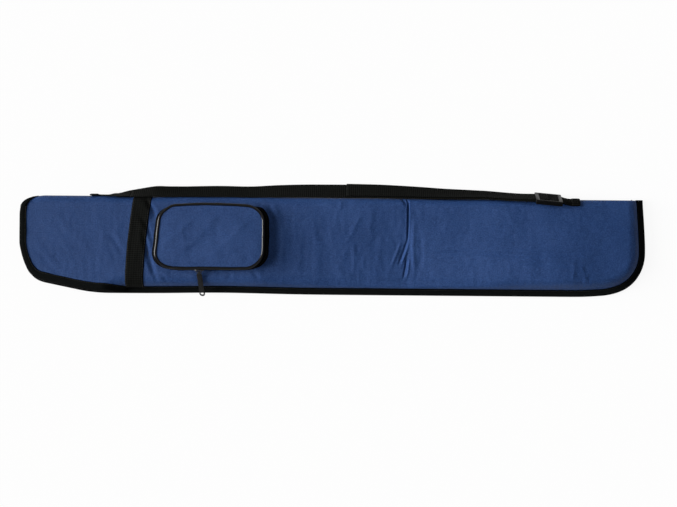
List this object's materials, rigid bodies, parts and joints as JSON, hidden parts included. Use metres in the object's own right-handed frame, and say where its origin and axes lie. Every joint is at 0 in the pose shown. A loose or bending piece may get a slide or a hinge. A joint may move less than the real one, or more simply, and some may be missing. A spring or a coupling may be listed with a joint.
{
  "type": "slim padded carry case",
  "caption": "Long slim soft padded carry case in navy cloth with bound edges, a zipped mouth flap, a zip pocket, a webbing band and a shoulder strap.",
  "frame": {"origin": "middle of the back's resting face, halfway along and across the case", "axes": "+X from the mouth to the closed end, +Y towards the folded edge, +Z out of the front panel"},
  "size_m": [0.85, 0.1513, 0.0383],
  "materials": {
    "navy_cloth": "plain woven nylon, slight sheen",
    "foam": "soft closed foam",
    "black_lining": "thin smooth lining",
    "black_binding": "folded grosgrain tape",
    "black_webbing": "ribbed webbing",
    "zip_tape": "woven zip tape",
    "zip_coil": "nylon coil",
    "zip_metal": "black enamel",
    "piping_plastic": "glossy vinyl piping",
    "adjuster_plastic": "moulded, slight gloss"
  },
  "bodies": {
    "case": {"back_cover": "navy_cloth", "back_padding": "foam", "back_lining": "black_lining", "front_cover": "navy_cloth", "front_padding": "foam", "front_lining": "black_lining", "body_binding": "black_binding", "webbing_band": "black_webbing", "mouth_binding": "black_binding", "fold_end_binding": "black_binding", "mouth_zip_tape": "zip_tape", "mouth_zip_coil": "zip_coil", "mouth_zip_stops": "zip_metal", "pocket_base_tape": "zip_tape", "pocket_zip_coil": "zip_coil", "pocket_hinge_strip": "zip_tape", "left_strap_tab": "black_webbing", "right_strap_tab": "black_webbing"},
    "mouth_flap": {"flap_cover": "navy_cloth", "flap_padding": "foam", "flap_lining": "black_lining", "flap_binding": "black_binding", "flap_zip_tape": "zip_tape", "flap_zip_coil": "zip_coil"},
    "mouth_slider": {"mouth_zip_slider": "zip_metal"},
    "mouth_pull": {"mouth_zip_pull": "zip_metal"},
    "pocket_cover": {"pocket_lid": "navy_cloth", "lid_piping": "piping_plastic", "lid_zip_tape": "zip_tape", "lid_zip_coil": "zip_coil"},
    "pocket_slider": {"pocket_zip_slider": "zip_metal"},
    "pocket_pull": {"pocket_zip_pull": "zip_metal"},
    "strap": {"shoulder_strap": "black_webbing", "strap_tail": "black_webbing"},
    "adjuster": {"strap_adjuster": "adjuster_plastic"}
  },
  "joints": [
    {"name": "flap_fold", "type": "hinge", "parent": "case", "child": "mouth_flap", "pos_m": [-0.425, 0.053, 0.024], "axis": [-0.7897, 0.6135, 0], "range_deg": [0, 120]},
    {"name": "mouth_slider_run", "type": "slide", "parent": "case", "child": "mouth_slider", "axis": [0, 1, 0], "range_m": [-0.012, 0.036]},
    {"name": "mouth_pull_swing", "type": "hinge", "parent": "mouth_slider", "child": "mouth_pull", "pos_m": [-0.4228, 0.006, 0.012], "axis": [0, 1, 0], "range_deg": [0, 90]},
    {"name": "pocket_lid_fold", "type": "hinge", "parent": "case", "child": "pocket_cover", "pos_m": [-0.1655, 0.054, 0.035], "axis": [-1, 0, 0], "range_deg": [0, 150]},
    {"name": "pocket_slider_run", "type": "slide", "parent": "case", "child": "pocket_slider", "axis": [1, 0, 0], "range_m": [-0.032, 0.057]},
    {"name": "pocket_pull_swing", "type": "hinge", "parent": "pocket_slider", "child": "pocket_pull", "pos_m": [-0.1805, -0.0362, 0.0299], "axis": [-1, 0, 0], "range_deg": [0, 110]},
    {"name": "strap_swing", "type": "hinge", "parent": "case", "child": "strap", "pos_m": [-0.319, 0.054, 0.012], "axis": [1, 0, 0], "range_deg": [0, 33]},
    {"name": "adjuster_run", "type": "slide", "parent": "strap", "child": "adjuster", "axis": [1, 0, 0], "range_m": [-0.007, 0.012]}
  ]
}
